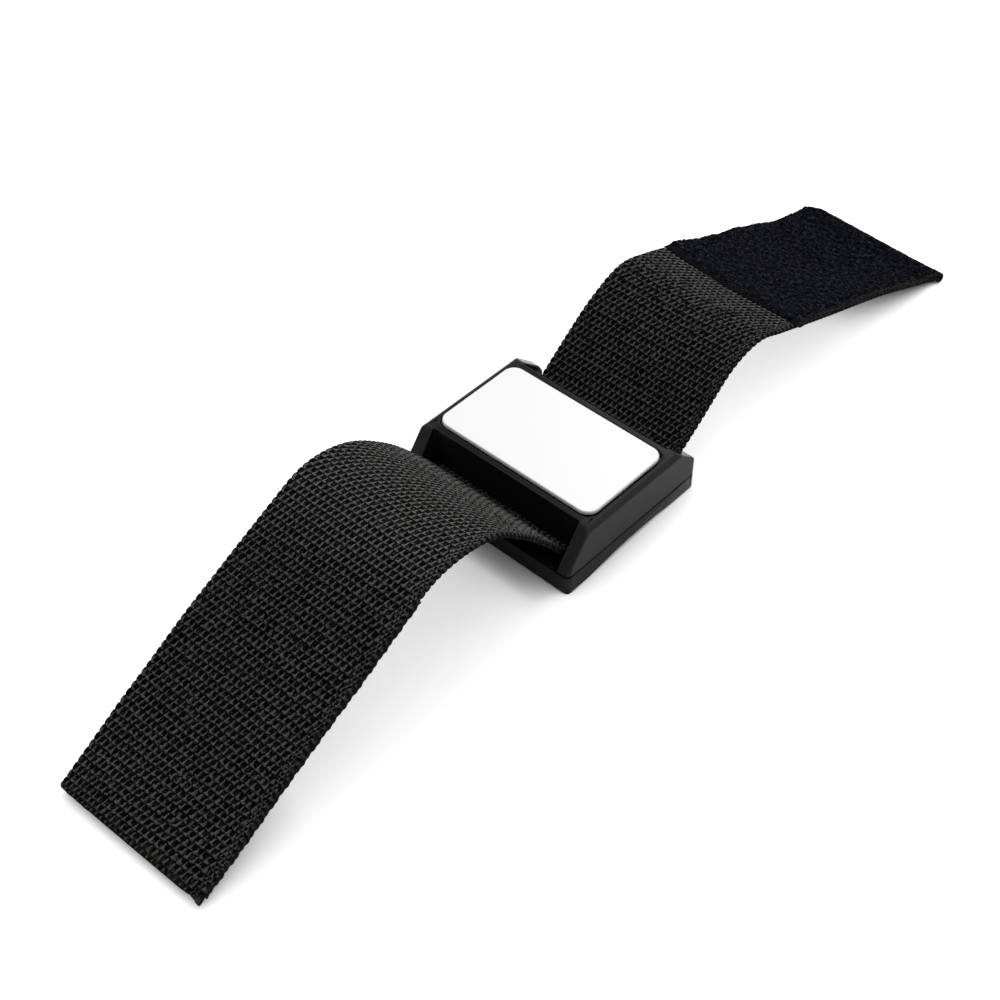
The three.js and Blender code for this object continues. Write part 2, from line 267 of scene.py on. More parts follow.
class WebbingSettings(PropertyGroup):
    """Sizes and colours of the woven band"""

    width: metres("Width", "Width of the webbing", BAND_WIDTH)
    face: metres("Face", "Height of the woven face above the webbing's middle", 0.72 * MM)
    crimp: metres("Crimp", "How far a yarn rises and falls as it crosses the weft", 0.28 * MM)
    yarn: metres("Yarn pitch", "Spacing of the yarns across the band", 0.89 * MM)
    pick: metres("Pick pitch", "Spacing of the weft along the band", 1.97 * MM)
    # The crest colour is the yarn's colour raised into a painted highlight; the pit colour is painted shade
    # between the yarns
    crest_and_highlight_colour: tint("Crest", "Colour of the raised yarn", (0.082, 0.082, 0.079))
    pit_shade_colour: tint("Pit", "Colour between the yarns", (0.0005, 0.0005, 0.0006))
    melt_colour: tint("Cut end", "Tint where the ends were cut with heat", (0.03, 0.019, 0.017))


class TapeSettings(PropertyGroup):
    """Sizes and colours of the hook tape and the loop pad"""

    pile: metres("Pile height", "Height of the pile above the webbing's middle", 1.9 * MM)
    lump: metres("Pile lumps", "How far the pile stands up and lies down", 0.14 * MM)
    loops: IntProperty(
        name="Loops", description="Loops of fibre on each piece of the pad", default=1500, min=0)
    loop_size: metres("Loop size", "Radius of a loop of fibre", 0.36 * MM)
    fibre: metres("Fibre", "Radius of a tuft of fibre", 0.06 * MM)
    pile_colour: tint("Pile", "Colour of the loop pile", (0.0046, 0.005, 0.0074))
    calm_colour: tint("Pressed pile", "Colour of the pad where it is pressed flat", (0.006, 0.0062, 0.0073))
    hook_pitch: metres("Hook pitch", "Spacing of the hooks", 1.55 * MM)
    hook_height: metres("Hook height", "Height of a hook above its tape", 1 * MM)
    hook_wire: metres("Hook wire", "Radius of a hook's wire", 0.1 * MM)
    hook_colour: tint("Hooks", "Colour of the hook tape", (0.01, 0.01, 0.0105))


class CaseSettings(PropertyGroup):
    """Sizes and colours of the moulded case and its plate"""

    edge: metres("Cheek edge radius", "Radius of the cheeks' handled edges", 0.5 * MM)
    fine_edge: metres("Edge radius", "Radius of the other moulded edges", 0.25 * MM)
    plate_edge: metres("Plate edge radius", "Radius of the plate's edges", 0.15 * MM)
    flare: metres("Base flare", "How far the foot of the base stands out from its seam", 0.9 * MM)
    plate_gap: metres(
        "Plate gap", "How far the plate's -X and -Y edges stand back from their seat", 0.55 * MM)
    plastic_colour: tint("Plastic", "Colour of the moulded case", (0.0095, 0.0095, 0.0106))
    # Paler plastic for rubbed edges and slopes, also standing in for painted highlights and painted
    # reflections
    rubbing_and_highlight_colour: tint("Worn edges", "Colour of the plastic along handled edges", (0.034, 0.034, 0.034))
    plate_colour: tint("Plate", "Colour of the enamelled plate", (0.9, 0.9, 0.895))


class StageSettings(PropertyGroup):
    """Camera, light and floor"""

    lens: FloatProperty(
        name="Lens", description="Focal length", subtype="DISTANCE_CAMERA", unit="CAMERA", default=59.97)
    azimuth: degrees("Azimuth", "Turn of the camera round the object", -47.668)
    elevation: degrees("Elevation", "Height of the camera above the horizon", 45.649)
    distance: metres("Distance", "From the camera to the point it looks at", 0.4622)
    aim: FloatVectorProperty(
        name="Aim", description="Point that the camera looks at", subtype="XYZ", unit="LENGTH", size=3,
        default=(-0.01145, 0.00782, -0.00313))
    key_power: FloatProperty(
        name="Key light", description="Power of the soft light above", subtype="POWER", unit="POWER",
        default=1.3)
    sky: FloatProperty(name="Sky", description="Strength of the white surroundings", default=1, min=0)
    ceiling: FloatProperty(
        name="Ceiling", description="How bright shiny surfaces see the dark ceiling", default=0.2, min=0,
        max=1)
    floor_colour: tint("Floor", "Colour of the floor", (0.9, 0.9, 0.9))


# Lines and places


def smooth(value):
    """Eases from 0 to 1."""
    value = np.clip(value, 0, 1)
    return value * value * (3 - 2 * value)


def ripple(value, *waves):
    """Sum of sines given as (wavelength, phase, height)."""
    return sum(height * np.sin(2 * math.pi * value / length + phase) for length, phase, height in waves)


def lay_line(points, steps=60):
    """Points close together on the centripetal spline through the lay, in X and Z."""
    places = np.array(points, float)
    places = np.vstack([2 * places[0] - places[1], places, 2 * places[-1] - places[-2]])
    share = np.linspace(0, 1, steps, endpoint=False)[:, None]
    runs = []
    for before, first, last, after in zip(places, places[1:], places[2:], places[3:]):
        d0, d1, d2 = (
            math.sqrt(np.linalg.norm(b - a)) for a, b in ((before, first), (first, last), (last, after)))
        leave = (first - before) / d0 - (last - before) / (d0 + d1) + (last - first) / d1
        arrive = (last - first) / d1 - (after - first) / (d1 + d2) + (after - last) / d2
        leave, arrive = leave * d1, arrive * d1
        square = 3 * (last - first) - 2 * leave - arrive
        cube = 2 * (first - last) + leave + arrive
        runs.append(first + leave * share + square * share**2 + cube * share**3)
    return np.vstack([*runs, places[-2:-1]])


def along_line(line):
    return np.concatenate([[0], np.cumsum(np.linalg.norm(np.diff(line, axis=0), axis=1))])


def soften(values, spread):
    """Evens out columns of values along the band with a bell curve."""
    reach = int(4 * spread / PATH_STEP)
    bell = np.exp(-0.5 * (np.arange(-reach, reach + 1) * PATH_STEP / spread) ** 2)
    padded = np.pad(values, ((reach, reach), (0, 0)), mode="edge")
    return np.stack([np.convolve(column, bell / bell.sum(), mode="valid") for column in padded.T], 1)


def wing_path(side):
    """Middle line of one half of the band, from under the plate to its end, with the places of its bends."""
    sign = WING_SIGN[side]
    joints = {joint["name"]: joint for joint in frame["joints"]}
    names = [f"{side}_wrap"] + [f"{side}_bend_{k}" for k in range(2, LENGTHS + 1)]
    hinges = np.array([joints[name]["pos_m"] for name in names])[:, [0, 2]] / MM
    line = lay_line([hinges[0], *LAY[side]])
    run = along_line(line)
    bends = [run[np.argmin(np.linalg.norm(line - hinge, axis=1))] for hinge in hinges] + [run[-1]]
    core = abs(hinges[0][0])
    last = line[-1] + (line[-1] - line[-2]) / np.linalg.norm(line[-1] - line[-2]) * PATH_SPARE
    line = np.vstack([[0, hinges[0][1]], line, last])
    run = np.concatenate([[-core], run, [run[-1] + PATH_SPARE]])
    s = np.arange(-core, run[-1], PATH_STEP)
    places = np.stack([np.interp(s, run, line[:, 0]), np.interp(s, run, line[:, 1])], 1)
    places += np.exp(-((s / MOUTH_REACH) ** 2))[:, None] * (soften(places, MOUTH_SPREAD) - places)
    ahead = np.gradient(places, PATH_STEP, axis=0)
    ahead /= np.linalg.norm(ahead, axis=1)[:, None]
    up = np.stack([-ahead[:, 1], ahead[:, 0]], 1) * sign
    skew_from = abs(np.interp(bends[-2], s, places[:, 0])) + END_SKEW_MARGIN
    marks = np.array(EDGES[side], float)
    edges = np.stack([np.interp(np.abs(places[:, 0]), marks[:, 0], marks[:, k]) for k in (1, 2, 3, 4)], 1)
    return SimpleNamespace(
        side=side, sign=sign, s=s, places=places, up=up, edges=soften(edges, EDGE_SPREAD), bends=bends,
        start=-core, end=bends[-1], skew_from=skew_from)


def band_place(path, along, across, height):
    """Points at distances along the band, across it and above its middle, all in mm."""
    along, across, height = np.broadcast_arrays(along, across, height)
    corner = smooth((across - BAND_HALF + CORNER_REACH) / CORNER_REACH)
    along = along - CORNER_TRIM[path.side] * corner * smooth((along - path.end + CORNER_REACH) / CORNER_REACH)
    lift_plus, lift_minus, draw_plus, draw_minus = (np.interp(along, path.s, edge) for edge in path.edges.T)
    plus = np.clip(across / BAND_HALF, 0, None) ** 2
    minus = np.clip(-across / BAND_HALF, 0, None) ** 2
    height = height + lift_plus * plus + lift_minus * minus
    x, z = (
        np.interp(along, path.s, place) + np.interp(along, path.s, up) * height
        for place, up in zip(path.places.T, path.up.T))
    out = np.clip((np.abs(x) - DRIFT_START) / (BAND_REACH - DRIFT_START), 0, None)
    turn = np.clip((np.abs(x) - path.skew_from) / (BAND_REACH - path.skew_from), 0, None)
    y = across - draw_plus * plus + draw_minus * minus - BAND_DRIFT * out**DRIFT_POWER
    return np.stack([x + path.sign * across * END_SKEW * turn, y, z], -1)


def length_middles(path):
    return [(a + b) / 2 for a, b in zip(path.bends, path.bends[1:])]


# Meshes


def link(name, data):
    """A new object in the scene."""
    made = bpy.data.objects.new(name, data)
    bpy.context.scene.collection.objects.link(made)
    return made


def joined(parts):
    """Arrays of numbers in one row, as a mesh takes them."""
    return np.concatenate(parts).astype(np.float32).ravel()


class PieceMesh:
    """Gathers the points, faces, map and weave places of one piece, in mm."""

    def __init__(self):
        self.points = []
        self.faces = []
        self.corners = []
        self.places = []
        self.melt = []
        self.smooth = []
        self.count = 0

    def add(self, points, faces, corners, places, melt, flat_ends):
        """Adds faces, the last of which may be flat ends."""
        points = points.reshape(-1, 3)
        self.points.append(points)
        self.faces.extend((np.asarray(face) + self.count).tolist() for face in faces)
        self.corners.append(corners)
        self.places.append(places.reshape(-1, 3))
        self.melt.append(np.broadcast_to(melt, len(points)) if np.isscalar(melt) else melt.ravel())
        self.smooth.append(np.arange(len(faces)) < len(faces) - flat_ends)
        self.count += len(points)

    def build(self, name, material):
        mesh = bpy.data.meshes.new(name)
        mesh.from_pydata((np.concatenate(self.points) * MM).tolist(), [], self.faces)
        mesh.uv_layers.new(name=BAKE_MAP).uv.foreach_set("vector", joined(self.corners))
        mesh.attributes.new("place", "FLOAT_VECTOR", "POINT").data.foreach_set("vector", joined(self.places))
        mesh.attributes.new("melt", "FLOAT", "POINT").data.foreach_set("value", joined(self.melt))
        mesh.polygons.foreach_set("use_smooth", np.concatenate(self.smooth))
        mesh.materials.append(material)
        if mesh.validate():
            raise RuntimeError(f"{name} has faces that don't hold together")
        return link(name, mesh)


def share_of(points):
    """Share of the way along a row of points, from 0 to 1."""
    run = along_line(points)
    return run / run[-1]


def add_tube(piece, points, places, melt, split, flip, areas, cap):
    """Adds a closed tube of rows of points, with an area of the map before the split and one after it."""
    rows, count, _ = points.shape
    index = np.arange(rows * count).reshape(rows, count)
    after = np.roll(index, -1, axis=1)
    quads = np.stack([index[:-1], index[1:], after[1:], after[:-1]], -1).reshape(-1, 4)
    ends = [index[0], index[-1][::-1]]
    round_trip = np.vstack([points[rows // 2], points[rows // 2, :1]])
    shares = [share_of(round_trip[:split + 1]), share_of(round_trip[split:])]
    left = np.concatenate([share[:-1] for share in shares])
    right = np.concatenate([share[1:] for share in shares])
    second = np.arange(count) >= split
    base, top = (np.where(second, after_split, before) for before, after_split in zip(*areas))
    level = base + (top - base) * share_of(points[:, split // 2])[:, None]
    low, high = level[:-1], level[1:]
    corners = np.stack([
        np.stack(np.broadcast_arrays(*corner), -1)
        for corner in ((left, low), (left, high), (right, high), (right, low))], -2)
    across = np.where(second, 1 - left, left)
    caps = np.where(second, cap + CAP_RISE, cap)
    end_corners = [np.stack([across, caps], -1), np.stack([across[::-1], caps + CAP_STEP], -1)]
    if flip:
        quads, corners = quads[:, ::-1], corners[..., ::-1, :]
        ends = [end[::-1] for end in ends]
        end_corners = [corner[::-1] for corner in end_corners]
    flat = np.concatenate([corners.reshape(-1, 2), *end_corners])
    piece.add(points, [*quads, *ends], flat, places, melt, 2)


def add_strands(piece, lines, places, melt, radius, sides, low, high):
    """Adds thin closed tubes along lines, each with its own cell of the map between two heights."""
    number, count, _ = lines.shape
    ahead = np.gradient(lines, axis=1)
    ahead /= np.linalg.norm(ahead, axis=2)[..., None]
    chord = lines[:, -1] - lines[:, 0] + np.array(ASKEW)
    side = np.cross(ahead, np.cross(chord, lines[:, count // 2] - lines[:, 0])[:, None])
    side /= np.linalg.norm(side, axis=2)[..., None] + 1e-9
    other = np.cross(ahead, side)
    turn = 2 * math.pi * np.arange(sides)[:, None] / sides
    ring = lines[:, :, None] + radius * (np.cos(turn) * side[:, :, None] + np.sin(turn) * other[:, :, None])
    index = np.arange(number * count * sides).reshape(number, count, sides)
    after = np.roll(index, -1, axis=2)
    quads = np.stack([index[:, :-1], after[:, :-1], after[:, 1:], index[:, 1:]], -1).reshape(-1, 4)
    ends = np.concatenate([index[:, 0, ::-1], index[:, -1]])
    columns = math.ceil(math.sqrt(number / (high - low)))
    cell = np.stack([np.arange(number) % columns, np.arange(number) // columns], -1) / columns + [0, low]
    step = 0.9 / columns
    i, j = np.meshgrid(np.arange(count - 1), np.arange(sides), indexing="ij")
    box = np.stack([
        np.stack([(j + a) / sides, (i + b) / count], -1) for a, b in ((0, 0), (1, 0), (1, 1), (0, 1))], -2)
    corners = (cell[:, None, None, None] + step * box).reshape(-1, 2)
    spot = np.arange(sides)
    tip = np.stack([spot % 2, spot // 2], -1) * 0.1 / count + [0.4, 1 - 0.9 / count]
    tips = (cell[:, None] + step * tip).reshape(-1, 2)
    spots = np.broadcast_to(places[:, None, None], ring.shape)
    piece.add(ring, [*quads, *ends], np.concatenate([corners, tips, tips]), spots, melt, 0)


def ride_band(piece, path, k, cut):
    """Lets the piece at the cut end follow length k; any other piece keeps its shape and place, with its
    transform baked into its points, and does not bend.
    """
    names = ["case"] + [f"{path.side}_length_{n}" for n in range(1, LENGTHS + 1)]
    if cut:
        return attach(piece, names[k])
    spot = path.bends[k]
    start = band_place(path, spot - BLEND_REACH, 0, 0) * MM
    end = band_place(path, spot + BLEND_REACH, 0, 0) * MM
    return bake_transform(piece)


def handled(place):
    """Whether a point lies on the cheeks, whose edges are rounder than the rest of the case."""
    return abs(place.y) > CHEEK_FROM and place.z > CHEEK_FOOT


def rubbing_and_highlight_of(mesh, plain):
    """How pale each face of a moulding is painted: its rounded edges most, then the slopes of its cheeks
    (rubbing and painted highlight), and the foot of the base (painted reflection).
    """
    rubbing_and_highlight = []
    for face in mesh.polygons:
        rounded = max(face.normal.dot(normal) for normal in plain) < ROUNDED_BELOW
        rounded = rounded and abs(face.center.z - SEAM_HEIGHT) > SEAM_REACH
        sloping = handled(face.center) and face.center.x < SLOPE_END and 0.3 < face.normal.z < 0.97
        # Walls of the base below the seam are painted paler: painted reflection of the floor
        foot = face.center.z < SEAM_HEIGHT and abs(face.normal.z) < 0.4
        rubbing_and_highlight.append(1 if rounded else SLOPE_RUBBING_AND_HIGHLIGHT * sloping + PAINTED_REFLECTION * foot)
    return np.array(rubbing_and_highlight, np.float32)


def round_edges(node, name, broad, fine, material, inset=0, flare=0):
    """A copy of a moulded solid with its edges rounded, which stands for it."""
    mesh = frame["nodes"][node].data.copy()
    mesh.name = name
    mesh.materials.clear()
    work = bmesh.new()
    work.from_mesh(mesh)
    bmesh.ops.remove_doubles(work, verts=work.verts, dist=2e-6)
    for vert in work.verts:
        out = flare * max(0, 1 - vert.co.z / FLARE_TOP)
        if vert.co.x < -FLARE_FROM[0]:
            vert.co.x -= out
        if abs(vert.co.y) > FLARE_FROM[1]:
            vert.co.y += math.copysign(out * (0.5 - vert.co.x / (2 * FLARE_FROM[0])), vert.co.y)
    bmesh.ops.dissolve_limit(work, angle_limit=FLAT_TURN, verts=work.verts, edges=work.edges)
    plain = [face.normal.copy() for face in work.faces]
    weight = work.edges.layers.float.new("bevel_weight_edge")
    for edge in work.edges:
        middle = (edge.verts[0].co + edge.verts[1].co) / 2
        seen = middle.z > SHARP_BELOW and len(edge.link_faces) == 2
        if seen and edge.calc_face_angle() > SHARP_TURN:
            span = edge.verts[1].co - edge.verts[0].co
            lengthwise = abs(span.x) > 0.95 * span.length
            edge[weight] = 1 if handled(middle) and not lengthwise else fine / broad
    for vert in work.verts:
        vert.co.x += inset * ((vert.co.x < 0) - 0.5 * (vert.co.x > 0))
        vert.co.y += inset * (vert.co.y < 0)
    corners = np.array([vert.co for vert in work.verts])
    work.to_mesh(mesh)
    work.free()
    piece = link(name, mesh)
    bevel = piece.modifiers.new("Rounded edges", "BEVEL")
    bevel.limit_method = "WEIGHT"
    bevel.width = broad
    bevel.segments = 4
    bevel.use_clamp_overlap = False
    made = bpy.data.meshes.new_from_object(piece.evaluated_get(bpy.context.evaluated_depsgraph_get()))
    piece.modifiers.clear()
    piece.data = made
    made.name = name
    places = np.empty(3 * len(made.vertices))
    made.vertices.foreach_get("co", places)
    places = np.clip(places.reshape(-1, 3), corners.min(axis=0), corners.max(axis=0))
    made.vertices.foreach_set("co", places.ravel())
    made.attributes.new("rubbing_and_highlight", "FLOAT", "FACE").data.foreach_set("value", rubbing_and_highlight_of(made, plain))
    made.polygons.foreach_set("use_smooth", np.ones(len(made.polygons), bool))
    made.materials.clear()
    made.materials.append(material)
    evened = piece.modifiers.new("Even normals", "WEIGHTED_NORMAL")
    evened.weight = 100
    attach(piece, "case")
    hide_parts(node)
    return piece


# Materials


def arithmetic(operation, turned=False):
    """A method that joins a value and another one with a node of arithmetic."""
    def join(value, other):
        pair = (other, value) if turned else (value, other)
        return value.nodes.math(operation, *pair)
    return join


class Field:
    """A value in a node tree that can be added and multiplied like a number."""

    def __init__(self, nodes, socket):
        self.nodes = nodes
        self.socket = socket

    def __neg__(self):
        return self * -1

    __add__ = __radd__ = arithmetic("ADD")
    __mul__ = __rmul__ = arithmetic("MULTIPLY")
    __sub__ = arithmetic("SUBTRACT")
    __rsub__ = arithmetic("SUBTRACT", turned=True)
    __truediv__ = arithmetic("DIVIDE")


class Nodes:
    """Short ways to add nodes to a tree."""

    def __init__(self, tree):
        self.tree = tree

    def node(self, kind, inputs=None, output=0, **values):
        """Adds a node and gives one of its outputs."""
        made = self.tree.nodes.new(kind)
        for key, value in values.items():
            setattr(made, key, value)
        for key, value in (inputs or {}).items():
            self.feed(made.inputs[key], value)
        return Field(self, made.outputs[output])

    def feed(self, socket, value):
        if isinstance(value, Field):
            self.tree.links.new(value.socket, socket)
        else:
            socket.default_value = value

    def math(self, operation, *values):
        return self.node("ShaderNodeMath", dict(enumerate(values)), operation=operation)

    def vector(self, operation, *values, output=0):
        return self.node("ShaderNodeVectorMath", dict(enumerate(values)), output, operation=operation)

    def parts(self, vector):
        split = self.node("ShaderNodeSeparateXYZ", {"Vector": vector}).socket.node
        return [Field(self, socket) for socket in split.outputs]

    def floor(self, value):
        return self.math("FLOOR", value)

    def maximum(self, first, second):
        return self.math("MAXIMUM", first, second)

    def clip(self, value, low, high):
        return self.math("MINIMUM", self.maximum(value, low), high)

    def mix(self, share, first, second):
        first, second = (tone if isinstance(tone, Field) else (*tone, 1) for tone in (first, second))
        return self.node("ShaderNodeMix", {0: share, 6: first, 7: second}, 2, data_type="RGBA")

    def span(self, value, low, high, to_low=0, to_high=1):
        return self.node("ShaderNodeMapRange", {
            "Value": value, "From Min": low, "From Max": high, "To Min": to_low, "To Max": to_high})

    def noise(self, vector, scale, detail=3, roughness=0.55, output=0):
        return self.node("ShaderNodeTexNoise", {
            "Vector": vector, "Scale": scale, "Detail": detail, "Roughness": roughness}, output)

    def attribute(self, name, output="Fac"):
        return self.node("ShaderNodeAttribute", None, output, attribute_name=name)

    def ray(self, kind):
        return self.node("ShaderNodeLightPath", None, kind)


class Finish(Nodes):
    """A material in the making."""

    def __init__(self, name):
        self.material = bpy.data.materials.new(name)
        self.material.use_nodes = True
        super().__init__(self.material.node_tree)
        self.shader = self.tree.nodes["Principled BSDF"]

    def object_place(self):
        return self.node("ShaderNodeTexCoord", None, "Object")

    def done(self, tone, rough, relief, depth, strength, specular=0.5, metallic=0):
        """The material, with its colour, its roughness and a relief of some depth in m."""
        bump = self.node("ShaderNodeBump", {"Height": relief, "Distance": depth, "Strength": strength})
        values = {
            "Base Color": tone, "Roughness": rough, "Normal": bump, "Specular IOR Level": specular,
            "Metallic": metallic}
        for key, value in values.items():
            self.feed(self.shader.inputs[key], value)
        return self.material


def times(shade, factor):
    return tuple(factor * value for value in shade)


def webbing_material(settings):
    """Black webbing: yarns coloured light on their crests and dark in the pits by their height (painted
    highlight and painted shade), uneven weaving, twisted fibres and ends cut with heat.
    """
    finish = Finish("webbing")
    span = finish.span
    place = finish.attribute("place", "Vector")
    melt = finish.attribute("melt")
    inward, _, level = finish.parts(place)
    even = 0
    for start, end, fade in EVEN:
        inside = span(inward, start - fade, start + fade) * span(inward, end - fade, end + fade, 1, 0)
        even = inside + even
    stray = finish.vector("SUBTRACT", finish.noise(place, 0.45, 2, 0.5, "Color"), (0.5, 0.5, 0.5))
    calmed = {0: stray, "Scale": span(even, 0, 1, 1, EVEN_STRAY)}
    stray = finish.node("ShaderNodeVectorMath", calmed, operation="SCALE")
    along, side, _ = finish.parts(finish.vector("MULTIPLY_ADD", stray, STRAY, place))
    selvedge = finish.math("LESS_THAN", side, SELVEDGE_WIDTH - BAND_HALF)
    fineness = span(selvedge, 0, 1, 1, SELVEDGE_FINENESS)
    woven = weave(along * fineness, side * fineness, settings.pick / MM, settings.yarn / MM, finish)
    # Along the band's edges the colour follows the stored edge value, which holds painted shade on the edge's
    # lower part
    rim = span(finish.math("ABSOLUTE", side), BAND_HALF - 1.1, BAND_HALF - 0.5)
    woven = span(finish.maximum(rim, melt * 0.8), 0, 1, woven, level)
    # Colour follows the weave's height: light crests and dark pits are painted highlight and painted shade;
    # the noise adds tone that differs from yarn to yarn
    lit = span(woven, -0.05, 0.7) * span(finish.noise(place, 1.1), 0.3, 0.7, 0.4, 1.45)
    lit = finish.maximum(lit, span(finish.noise(place, 1.5, 2), 0.54, 0.7, 0, 0.4))
    # The crest colour is lighter on the even stretches: painted light on the crests
    crest = finish.mix(even, settings.crest_and_highlight_colour, times(settings.crest_and_highlight_colour, EVEN_PAINTED_LIGHT))
    tone = finish.mix(lit, settings.pit_shade_colour, crest)
    singed = melt * span(finish.noise(place, 0.22), 0.46, 0.62, 0, 0.35)
    tone = finish.mix(singed, tone, settings.melt_colour)
    twist = finish.math("SINE", side * 22 + along * 9)
    return finish.done(tone, span(lit, 0, 1, 0.85, 0.6), woven + twist * 0.08, 0.12 * MM, 0.6, 0.06)


def pile_material(settings):
    """Navy black loop pile: matted tufts, lighter where the pile stands high and darker in its hollows
    (painted light and painted shade), scuffed patches, a pressed start and a bound -Y edge.
    """
    finish = Finish("loop_pile")
    span = finish.span
    place = finish.attribute("place", "Vector")
    _, across, lump = finish.parts(place)
    tufts = finish.noise(place, 1.2)
    # Pile colour darker where the lumps are low and lighter where they stand high: painted shade in the
    # hollows and painted light on top
    lit = span(tufts, 0.44, 0.62) * span(lump, -0.6, 0.6, 0.3, 1)
    tone = finish.mix(lit, times(settings.pile_colour, PILE_DEEP), times(settings.pile_colour, PILE_LIGHT))
    tone = finish.mix(span(finish.noise(place, 0.09, 2), 0.5, 0.75, 0, 0.25), tone, PATCH_COLOUR)
    pressed = finish.attribute("melt") * span(tufts, 0.4, 0.62, 0.3, 0.9)
    tone = finish.mix(pressed, tone, settings.calm_colour)
    bound = span(across, 1.5 - BAND_HALF, 0.8 - BAND_HALF) * span(tufts, 0.42, 0.56, 0.1, 1)
    tone = finish.mix(bound, tone, BOUND_COLOUR)
    rough = span(tufts, 0.3, 0.7, 0.98, 0.8)
    return finish.done(tone, rough, finish.noise(place, 2.6), 0.25 * MM, 0.8, 0.02)


def hook_material(settings):
    """Black nylon: woven tape behind and satin moulded hooks."""
    finish = Finish("hook_nylon")
    place = finish.attribute("place", "Vector")
    grain = finish.noise(place, 1.6)
    tone = finish.mix(grain, times(settings.hook_colour, 0.5), settings.hook_colour)
    rough = finish.span(grain, 0.3, 0.7, 0.5, 0.7)
    return finish.done(tone, rough, finish.noise(place, 1.2), 0.3 * MM, 0.8, 0.1)


def plastic_material(settings):
    """Black moulded plastic: satin skin, faint moulding clouds, paler edges and cheek slopes (rubbing and
    painted highlight), and a paler end rim and base foot (painted reflection).
    """
    finish = Finish("shell_plastic")
    span = finish.span
    spot = finish.object_place()
    _, across, height = finish.parts(spot)
    # The top rim at each end is painted paler: painted reflection
    rim = span(finish.math("ABSOLUTE", across), RIM_FROM, RIM_FROM + 1 * MM, 0, PAINTED_REFLECTION)
    rim = rim * span(height, RIM_HEIGHT, RIM_HEIGHT + 0.5 * MM)
    rubbing_and_highlight = finish.maximum(finish.attribute("rubbing_and_highlight"), rim)
    mottled_rubbing_and_highlight = rubbing_and_highlight * span(finish.noise(spot, 2600, 2), 0.3, 0.7, 0.7, 1)
    tone = finish.mix(mottled_rubbing_and_highlight, settings.plastic_colour, settings.rubbing_and_highlight_colour)
    rough = span(finish.noise(spot, 90, 4), 0.3, 0.7, 0.16, 0.24) + mottled_rubbing_and_highlight * 0.2
    return finish.done(tone, rough, finish.noise(spot, 1200, 2), 0.003 * MM, 0.3, 0.06)


def enamel_material(settings):
    """White enamel: smooth, with a faint ripple."""
    finish = Finish("white_enamel")
    spot = finish.object_place()
    clouds = finish.noise(spot, 60)
    tone = finish.mix(clouds, times(settings.plate_colour, 0.998), settings.plate_colour)
    rough = finish.span(clouds, 0.3, 0.7, 0.29, 0.31)
    return finish.done(tone, rough, finish.noise(spot, 120, 1), 0.004 * MM, 0.15)


def inner_material(name, low, high, rough, metallic, scale):
    """What lies under the plate: a mottled colour between two tones."""
    finish = Finish(name)
    grain = finish.noise(finish.object_place(), scale, 4)
    rough = finish.span(grain, 0.3, 0.7, rough - 0.08, rough + 0.08)
    return finish.done(finish.mix(grain, low, high), rough, grain, 0.02 * MM, 0.3, metallic=metallic)


def floor_material(settings):
    """White floor that keeps its shadows and lifts a little towards the white surroundings, its colour
    darkened near the object (painted contact shadow), its lift held back beside the case (painted shadow) and
    raised on the far floor (painted light).
    """
    finish = Finish("floor")
    span = finish.span
    finish.tree.nodes.remove(finish.shader)
    seen = finish.maximum(finish.ray("Is Camera Ray"), finish.ray("Is Glossy Ray"))
    seen = finish.maximum(seen, finish.ray("Is Transmission Ray"))
    shade = finish.node("ShaderNodeAmbientOcclusion", {"Distance": SHADE_REACH}, "AO", samples=6)
    x, y, _ = finish.parts(finish.node("ShaderNodeNewGeometry", None, "Position"))
    # Beside the near end of the case the lift starts only at deeper shade, keeping a painted shadow; on the
    # far floor it starts sooner and rises higher: painted light
    beside = span(x, *BESIDE_FROM) * span(x, *BESIDE_TO, 1, 0) * span(y, *BESIDE_ACROSS)
    far = span(x, *FAR_FLOOR)
    deep = span(beside, 0, 1, span(far, 0, 1, 0, 0.25), 0.78)
    lift = span(shade, deep, span(far, 0, 1, 0.92, 0.55), 0, span(far, 0, 1, 0.48, 0.62))
    # The floor colour darkens where the object is close: painted contact shadow
    tone = finish.mix(span(shade, 0.1, 0.5, 0.5, 1), (0, 0, 0), settings.floor_colour)
    plain = finish.node("ShaderNodeBsdfDiffuse", {"Color": tone})
    glow = finish.node("ShaderNodeEmission", {"Color": (1, 1, 1, 1), "Strength": seen * lift})
    both = finish.node("ShaderNodeAddShader", {0: plain, 1: glow})
    finish.feed(finish.tree.nodes["Material Output"].inputs["Surface"], both)
    return finish.material


# Webbing


def weave(along, across, pick, yarn, calc=np):
    """Height of the woven face along and across the band, 1 on its crests, for arrays or for nodes."""
    row = calc.floor((along + ROW_BACK) / pick)
    from_foot = along - row * pick
    odd = row - 2 * calc.floor(row / 2)
    hand = 1 - 2 * odd
    turned = hand * (across / (2 * yarn) - ROW_SHIFT * odd) + REPEAT_BACK
    side = (turned - calc.floor(turned) - REPEAT_BACK) * 2 * yarn
    tall, top = (first + (other - first) * odd for first, other in (STEM_LENGTH, STEM_TOP))
    up = calc.clip(-from_foot / tall, 0, 1.5)
    half = STEM_HALF[0] + (STEM_HALF[1] - STEM_HALF[0]) * calc.clip(up, 0, 1)
    off = (side + hand * STEM_LEAN * up) / half
    stem = top - STEM_FALL * up * up - off * off - 8 * calc.clip(up - STEM_END, 0, 1)
    stem = stem - 9 * calc.clip(from_foot, 0, 1)
    reach = calc.clip(side / FOOT_LENGTH, 0, 1)
    rise = from_foot / FOOT_HALF
    foot = FOOT_TOP - FOOT_FALL * reach * reach - rise * rise - 9 * calc.clip(-STEM_HALF[0] - side, 0, 1)
    return calc.maximum(calc.maximum(stem, foot), PIT)


